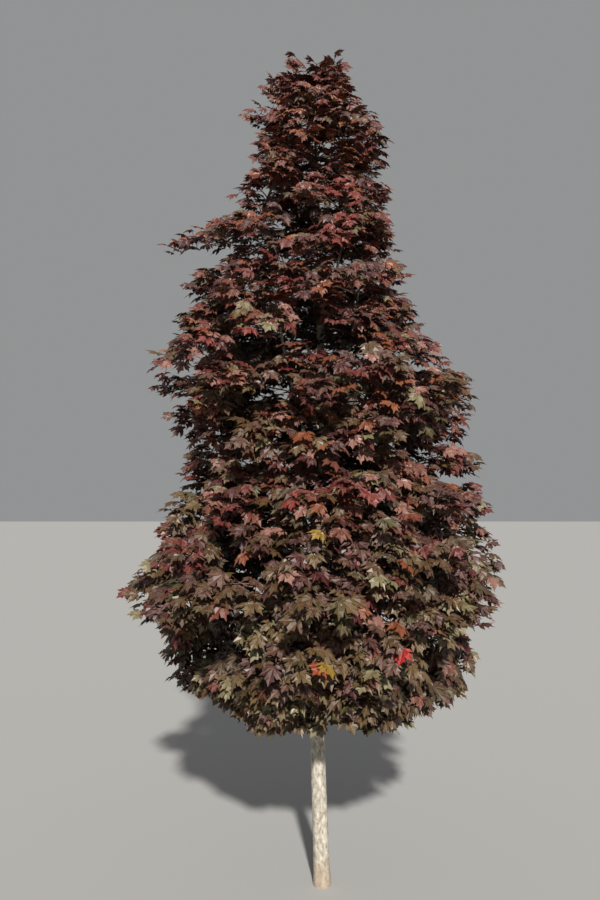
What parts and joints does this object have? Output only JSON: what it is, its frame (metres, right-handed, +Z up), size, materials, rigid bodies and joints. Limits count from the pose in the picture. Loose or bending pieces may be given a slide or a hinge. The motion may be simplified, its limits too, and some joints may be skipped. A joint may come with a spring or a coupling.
{
  "type": "norway maple tree",
  "caption": "Young narrow deciduous tree in full leaf, with a straight clear trunk, steep boughs and dense masses of broad lobed purple-red leaves.",
  "frame": {"origin": "centre of the flat cut under the trunk, at ground level", "axes": "+Z up along the trunk, +X to the tree's right side and -Y towards its front"},
  "size_m": [1.815, 1.7515, 3.917],
  "materials": {
    "bark": "smooth young bark, pale grey-tan and faintly speckled, matt",
    "foliage": "leathery leaves with a soft gloss: maroon-red outside and at the top, bronze-olive below"
  },
  "bodies": {
    "root": {"bough_crest_back": "bark", "bough_crest_front_left": "bark", "bough_crest_front_right": "bark", "bough_lower_back": "bark", "bough_lower_front": "bark", "bough_lower_left": "bark", "bough_lower_right": "bark", "bough_middle_back_left": "bark", "bough_middle_back_right": "bark", "bough_middle_front_left": "bark", "bough_middle_front_right": "bark", "bough_neck_back_right": "bark", "bough_neck_front_right": "bark", "bough_neck_left": "bark", "bough_shoulder_back": "bark", "bough_shoulder_front": "bark", "bough_shoulder_left": "bark", "bough_shoulder_right": "bark", "bough_skirt_back_left": "bark", "bough_skirt_back_right": "bark", "bough_skirt_front_left": "bark", "bough_skirt_front_right": "bark", "bough_upper_back_left": "bark", "bough_upper_back_right": "bark", "bough_upper_front_left": "bark", "bough_upper_front_right": "bark", "foliage_crest_back": "foliage", "foliage_crest_front_left": "foliage", "foliage_crest_front_right": "foliage", "foliage_leader": "foliage", "foliage_lower_back": "foliage", "foliage_lower_front": "foliage", "foliage_lower_left": "foliage", "foliage_lower_right": "foliage", "foliage_middle_back_left": "foliage", "foliage_middle_back_right": "foliage", "foliage_middle_front_left": "foliage", "foliage_middle_front_right": "foliage", "foliage_neck_back_right": "foliage", "foliage_neck_front_right": "foliage", "foliage_neck_left": "foliage", "foliage_shoulder_back": "foliage", "foliage_shoulder_front": "foliage", "foliage_shoulder_left": "foliage", "foliage_shoulder_right": "foliage", "foliage_skirt_back_left": "foliage", "foliage_skirt_back_right": "foliage", "foliage_skirt_front_left": "foliage", "foliage_skirt_front_right": "foliage", "foliage_upper_back_left": "foliage", "foliage_upper_back_right": "foliage", "foliage_upper_front_left": "foliage", "foliage_upper_front_right": "foliage", "trunk": "bark"}
  },
  "joints": []
}
